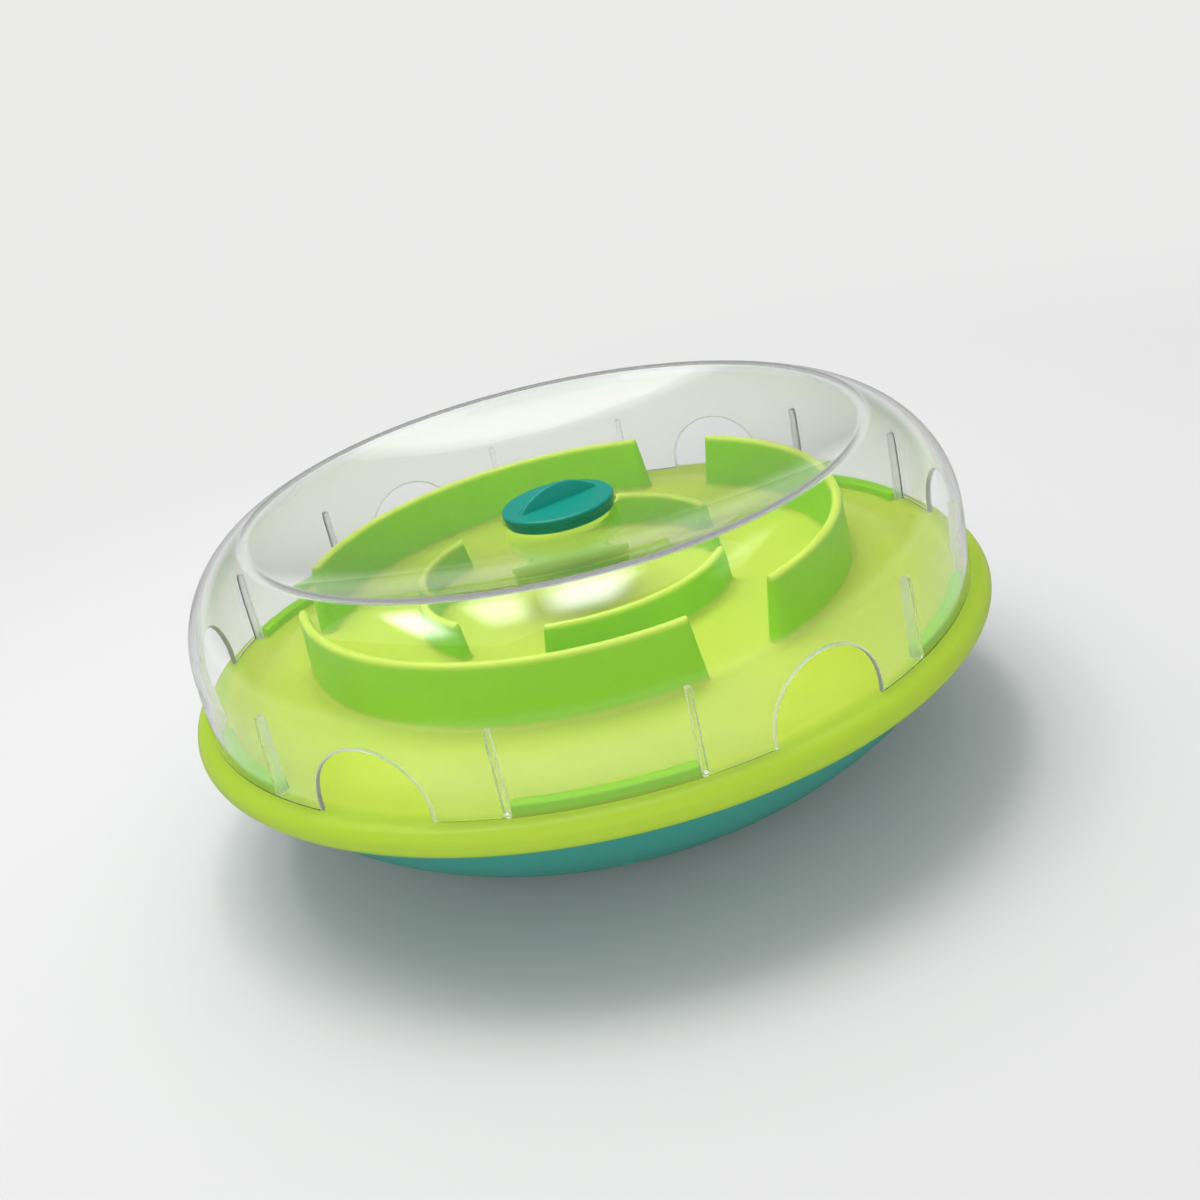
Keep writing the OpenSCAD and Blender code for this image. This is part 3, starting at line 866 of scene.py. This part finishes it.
# the swept skin's own normals, so that the patches round the arches shade as one surface
def skinNormals(piece):
    mesh = piece.data
    normals = [Vector() for loop in mesh.loops]
    for face in mesh.polygons:
        for i in face.loop_indices:
            x, y, z = mesh.vertices[mesh.loops[i].vertex_index].co / mm
            r = math.hypot(x, y)
            for depth, side in ((0.0, 1), (stack["domeWall"], -1)):
                if z > domeSize["trueTop"] or abs(r - domeRadius(depth, z)) > domeSize["trueWithin"]:
                    continue
                a = skinAngle(depth, z)
                normal = side * Vector((x / r * math.cos(a), y / r * math.cos(a), math.sin(a)))
                if normal.dot(face.normal) > domeSize["trueFacing"]:
                    normals[i] = normal
    mesh.normals_split_custom_set(normals)


def clearDome():
    wall, hole, arches = stack["domeWall"], domeSize["holeR"], domeSize["arches"]
    bm = bmesh.new()
    section = crownLine(0) + [(hole, capSeatZ), (hole, capSeatZ - wall)]
    spinSection(bm, section + list(reversed(crownLine(wall))), stack["spin"], False)
    for i in range(arches):
        archSector(bm, i * sixth)
    piece = makePiece("clearDome", bm)
    soften(piece, domeSize["holeRound"], domeSize["holeAngle"])
    ribs = [copyRound("ribs" + label, ribSolid(), arches, sixth / 2 + side * domeSize["ribTurn"], clear)
            for label, side in (("Left", -1), ("Right", 1))]
    fuse(piece, ribs)
    smooth(piece, domeSize["smoothUnder"])
    skinNormals(piece)
    dress(piece, clear)
    handOver(piece, "dome", "dome")


clearDome()


# fill cap: stepped disc with a soft edge, short hollow plug, half-moon thumb fin

capSize = {
    "r": 19.5, "high": 4.8, "edgeRound": 0.9, "edgeSteps": 8, "faceRings": 8, "spin": 128,
    "stepH": 2.6, "stepIn": 0.7, "smallRound": 0.3, "smallSteps": 4,
    "plugR": 15.75, "plugH": 2.2, "plugWall": 1.8, "crown": 2.6, "smoothUnder": 32,
    "finL": 31.0, "finH": 6.0, "finT": 3.2, "finTipT": 1.9, "finTurn": 28.0, "finSink": 0.8,
    "finSteps": 40, "finOver": 0.9, "finRound": 0.55, "roundShare": 0.9,
    "roundTurns": (0, 22.5, 45, 67.5, 90),
    "endH": 0.15, "endClear": 0.1,  # height of the fin's buried ends, and what their rounding leaves of it
}


def finSolid(top):
    length, high, sink = capSize["finL"] / 2, capSize["finH"], capSize["finSink"]
    moonR = (length ** 2 + high ** 2) / (2 * high)
    tip, foot, steps = capSize["finTipT"] / 2, capSize["finT"] / 2, capSize["finSteps"]
    turns = [math.radians(a) for a in capSize["roundTurns"]]
    bm = bmesh.new()
    rings = []
    for i in range(steps + 1):
        x = (length + capSize["finOver"]) * math.sin(math.pi * (i / steps - 0.5))
        h = max(high - moonR + math.sqrt(moonR ** 2 - x ** 2), -sink + capSize["endH"])
        half = foot + (tip - foot) * max(h, 0.0) / high
        edge = min(capSize["finRound"], half * capSize["roundShare"], h + sink - capSize["endClear"])
        side = [(foot, -sink)]
        side += [(half - edge + edge * math.cos(a), h - edge + edge * math.sin(a)) for a in turns]
        path = side + [(-y, z) for y, z in reversed(side)]
        rings.append([bm.verts.new((x * mm, y * mm, (top + z) * mm)) for y, z in path])
    stackRings(bm, rings, True)
    bmesh.ops.rotate(bm, verts=bm.verts, matrix=Matrix.Rotation(math.radians(capSize["finTurn"]), 3, "Z"))
    return makePiece("fin", bm)


def fillCap():
    r, edge, low = capSize["r"], capSize["edgeRound"], capSeatZ
    top, foot = low + capSize["high"], r - capSize["stepIn"]
    plug, inside = capSize["plugR"], capSize["plugR"] - capSize["plugWall"]
    roof, tip = top - capSize["crown"], low - capSize["plugH"]
    small, smallSteps, step = capSize["smallRound"], capSize["smallSteps"], low + capSize["stepH"]
    section = [(r * i / capSize["faceRings"], top) for i in range(capSize["faceRings"])]
    section += arcPoints((r - edge, top - edge), edge, 90, 0, capSize["edgeSteps"])
    section += arcPoints((r - small, step + small), small, 0, -90, smallSteps)
    section += [(foot, step), (foot, low), (plug, low)]
    section += arcPoints((plug - small, tip + small), small, 0, -90, smallSteps)
    section += [(inside, tip), (inside, roof), (0.0, roof)]
    bm = bmesh.new()
    spinSection(bm, section, capSize["spin"])
    piece = makePiece("fillCap", bm)
    fuse(piece, [finSolid(top)])
    smooth(piece, capSize["smoothUnder"])
    dress(piece, capTeal)
    handOver(piece, "fill_cap", "cap")


fillCap()


# screws: pan or flange head with a cross recess, rolled thread and a blunt point

screwSize = {
    "shankR": 1.5, "rootR": 1.16, "headH": 2.2, "round": 20, "smoothUnder": 35,
    "pitch": 1.2, "pitchSteps": 8, "ridge": 0.32, "runOut": 0.8,  # the ridge is a share of the pitch
    "pointR": 0.35, "pointL": 2.6,  # the point's radius is a share of the shank's
    "slotL": 3.4, "slotW": 0.9, "slotDeep": 1.2, "slotOver": 1.0, "slotTaper": (0.62, 0.8),
    "screw": {"headR": 3.0, "length": 18.0, "flange": False},
    "clamp": {"headR": 7.0, "length": 7.0, "flange": True},
    "pan": {"round": 1.1, "foot": 0.2},
    "flange": {"hubR": 2.4, "hubRound": 0.7, "neckR": 3.2, "neckZ": -1.1, "rimH": 0.8, "rimRound": 0.4},
}


def headSection(headR, flange):
    high = screwSize["headH"]
    if flange:
        size = screwSize["flange"]
        hub, bend, edge = size["hubR"], size["hubRound"], size["rimRound"]
        head = [(0.0, -high), (hub, -high)] + arcPoints((hub, -high + bend), bend, -90, 0, 4)
        head += [(size["neckR"], size["neckZ"]), (headR - edge, -size["rimH"])]
        return head + arcPoints((headR - edge, -edge), edge, -90, 90, 6)
    bend, edge = screwSize["pan"]["round"], screwSize["pan"]["foot"]
    head = [(0.0, -high), (headR - bend, -high)] + arcPoints((headR - bend, -high + bend), bend, -90, 0, 6)
    return head + arcPoints((headR - edge, -edge), edge, 0, 90, 2)


def threadRing(bm, z, length):  # one ring of the thread, or the plain neck at 0
    shank, root, around = screwSize["shankR"], screwSize["rootR"], screwSize["round"]
    ring = []
    for i in range(around):
        r, a = shank, 2 * math.pi * i / around
        if z > 0:
            phase = (z / screwSize["pitch"] - i / around) % 1.0
            ridge = max(0.0, 1 - abs(phase - 0.5) / screwSize["ridge"]) if screwSize["runOut"] < z else 0.0
            r = root + (shank - root) * ridge
            r *= min(1.0, screwSize["pointR"] + (length - z) / screwSize["pointL"])
        ring.append(bm.verts.new((r * math.cos(a) * mm, r * math.sin(a) * mm, z * mm)))
    return ring


def crossRecess():
    high, taper = screwSize["headH"], screwSize["slotTaper"]
    half, wide, deep = screwSize["slotL"] / 2, screwSize["slotW"] / 2, -high + screwSize["slotDeep"]
    cross = [(half, -wide), (half, wide), (wide, wide), (wide, half), (-wide, half), (-wide, wide),
             (-half, wide), (-half, -wide), (-wide, -wide), (-wide, -half), (wide, -half), (wide, -wide)]
    bm = bmesh.new()
    mouth = [bm.verts.new((x * mm, y * mm, (-high - screwSize["slotOver"]) * mm)) for x, y in cross]
    floor = [bm.verts.new((x * taper[0] * mm, y * taper[1] * mm, deep * mm)) for x, y in cross]
    stackRings(bm, [mouth, floor], True)
    return makePiece("recess", bm)


def screwSolid(name, headR, length, flange):
    around = screwSize["round"]
    bm = bmesh.new()
    outer = spinSection(bm, headSection(headR, flange), around * 2, False)[-1]
    last = threadRing(bm, 0, length)
    for i in range(around):
        j = (i + 1) % around
        bm.faces.new((last[i], last[j], outer[2 * j], outer[2 * i + 1], outer[2 * i]))
    steps = int(length / screwSize["pitch"] * screwSize["pitchSteps"])
    for k in range(1, steps + 1):
        ring = threadRing(bm, length * k / steps, length)
        joinRings(bm, last, ring)
        last = ring
    bm.faces.new(last)
    piece = makePiece(name, bm)
    fuse(piece, [crossRecess()], "DIFFERENCE")
    return piece


def placeScrew(piece, at, z, down):
    for v in piece.data.vertices:
        x, y, h = v.co
        v.co = (x + at * mm, -y if down else y, z * mm - h if down else z * mm + h)
    return piece


def screws():
    for name, kind, z, down, node in (
            ("trayScrews", "screw", stack["screwSeatZ"], False, "assembly_screws"),
            ("clampScrews", "clamp", stack["ballastTop"], True, "ballast_screws")):
        one = placeScrew(screwSolid(name + "One", **screwSize[kind]), stack[kind + "R"], z, down)
        piece = copyRound(name, one, *stack[kind + "Ring"], zinc)
        smooth(piece, screwSize["smoothUnder"])
        handOver(piece, node, "base")


screws()
dress(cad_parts["ballast_plate"], rolled)


# stage: pale floor that fades into the backdrop, a soft box and strips above, a low fill in front

stageLook = {
    "floor": (0.68, 0.68, 0.676, 1.0), "backdrop": (0.84, 0.84, 0.835, 1.0),
    "ambient": (0.52, 0.525, 0.53, 1.0),
    "mirror": grey(0.60), "floorMirror": grey(0.42), "room": grey(0.13), "horizon": (0.0, 0.16),
    "floorR": 4.0, "floorZ": -0.0002, "floorSides": 96, "fade": (0.2, 0.8),
}
lamps = {
    "frontFill": {"power": 18.0, "size": (2.8, 1.4), "place": (-0.1, -1.75, 0.45), "aim": (0.0, 0.0, 0.05)},
    "topBox": {"power": 4.2, "size": (1.2, 1.0), "place": (-0.16, 0.22, 1.08), "aim": (0.0, 0.0, 0.06),
               "through": True},
    "backGlow": {"power": 0.85, "size": (0.6, 0.36), "place": (-0.06, 0.92, 1.08),
                 "aim": (-0.06, 0.92, 0.0), "mirrored": True},
}
strips = {  # power, width and place across
    "stripA": (4.7, 0.2, -0.49), "stripB": (3.2, 0.22, -0.22),
    "stripC": (7.2, 0.3, 0.02), "stripD": (0.6, 0.2, 0.52),
}
stripLook = {"long": 0.8, "y": 0.16, "z": 1.08, "fade": (0.12, 0.5)}  # the fade is a share of a lamp's size


def studioFloor():
    material, wire, place = startMaterial("studioFloor")
    far = (polar(place)[0] * mm).rise(*stageLook["fade"])
    mirrored = wire.ray("Glossy") * (1 - wire.ray("Transmission"))
    nearTint = mirrored.blend(stageLook["floor"], stageLook["floorMirror"])
    farTint = mirrored.blend(stageLook["backdrop"], stageLook["floorMirror"])
    near = wire.add("ShaderNodeBsdfDiffuse", None, {"Color": nearTint})
    glow = wire.add("ShaderNodeEmission", None, {"Color": farTint})
    close(wire, wire.add("ShaderNodeMixShader", None, {0: far, 1: near, 2: glow}))
    bm = bmesh.new()
    bmesh.ops.create_circle(bm, cap_ends=True, segments=stageLook["floorSides"], radius=stageLook["floorR"])
    ground = makePiece("studioFloor", bm)
    ground.location.z = stageLook["floorZ"]
    dress(ground, material)


def studioWorld():
    world = bpy.data.worlds.new("studio")
    scene.world = world
    world.use_nodes = True
    world.node_tree.nodes.clear()
    wire = Wire(world.node_tree)
    direction = wire.add("ShaderNodeTexCoord", None, None, "Generated")
    above = axis(direction, 2).rise(*stageLook["horizon"])
    through = above.blend(stageLook["backdrop"], stageLook["room"])
    mirrored = above.blend(stageLook["mirror"], stageLook["room"])
    colour = wire.ray("Glossy").blend(stageLook["ambient"], mirrored)
    colour = wire.ray("Transmission").blend(colour, through)  # the last kind of ray that applies wins
    colour = wire.ray("Camera").blend(colour, stageLook["backdrop"])
    scattered = wire.maths("MINIMUM", wire.add("ShaderNodeLightPath", None, None, "Diffuse Depth"), 1.0)
    colour = scattered.blend(colour, stageLook["ambient"])
    surface = wire.add("ShaderNodeBackground", None, {"Color": colour})
    wire.add("ShaderNodeOutputWorld", None, {"Surface": surface}, None)


def fadeEdges(lamp, size, place):  # a lamp that faces straight down, brightest at its middle
    lamp.use_nodes = True
    lamp.node_tree.nodes.clear()
    wire = Wire(lamp.node_tree)
    spot = wire.add("ShaderNodeNewGeometry", None, None, "Position")
    shares = []
    for i in (0, 1):
        away = wire.maths("ABSOLUTE", axis(spot, i) - place[i], 0.0)
        shares.append(1 - away.rise(*[size[i] * edge for edge in stripLook["fade"]]))
    glow = wire.add("ShaderNodeEmission", None, {"Strength": shares[0] * shares[1]})
    wire.add("ShaderNodeOutputLight", None, {"Surface": glow}, None)


def softbox(name, power, size, place, aim, mirrored=False, through=False):
    lamp = bpy.data.lights.new(name, "AREA")
    lamp.energy, lamp.shape, lamp.size, lamp.size_y = power, "RECTANGLE", size[0], size[1]
    holder = bpy.data.objects.new(name, lamp)
    holder.location = place
    holder.rotation_euler = (Vector(aim) - Vector(place)).to_track_quat("-Z", "Y").to_euler()
    holder.visible_glossy, holder.visible_transmission = mirrored, mirrored or through
    if mirrored:
        fadeEdges(lamp, size, place)
    scene.collection.objects.link(holder)


studioFloor()
studioWorld()
for name, lamp in lamps.items():
    softbox(name, **lamp)
for name, (power, wide, x) in strips.items():
    place, aim = (x, stripLook["y"], stripLook["z"]), (x, stripLook["y"], 0.0)
    softbox(name, power, (wide, stripLook["long"]), place, aim, True)


# camera: the photograph's angle, with its roll and its small offset of frame

shot = {
    "aim": (0.0, 0.0, 0.0541), "azimuth": -87.74, "elevation": 23.78, "distance": 0.5285, "roll": -13.12,
    "lens": 44.55, "sensor": 36.0, "shift": (0.0119, 0.0192), "nearest": 0.01,
}


def camera():
    az, el = math.radians(shot["azimuth"]), math.radians(shot["elevation"])
    aim = Vector(shot["aim"])
    away = Vector((math.cos(el) * math.cos(az), math.cos(el) * math.sin(az), math.sin(el)))
    place = aim + shot["distance"] * away
    lens = bpy.data.cameras.new("camera")
    lens.lens, lens.sensor_width, lens.clip_start = shot["lens"], shot["sensor"], shot["nearest"]
    lens.shift_x, lens.shift_y = shot["shift"]
    eye = bpy.data.objects.new("camera", lens)
    eye.location = place
    turn = (aim - place).to_track_quat("-Z", "Y")
    eye.rotation_mode = "QUATERNION"
    eye.rotation_quaternion = turn @ Quaternion((0, 0, 1), math.radians(shot["roll"]))
    scene.collection.objects.link(eye)
    scene.camera = eye


camera()
print("stage and camera ready")
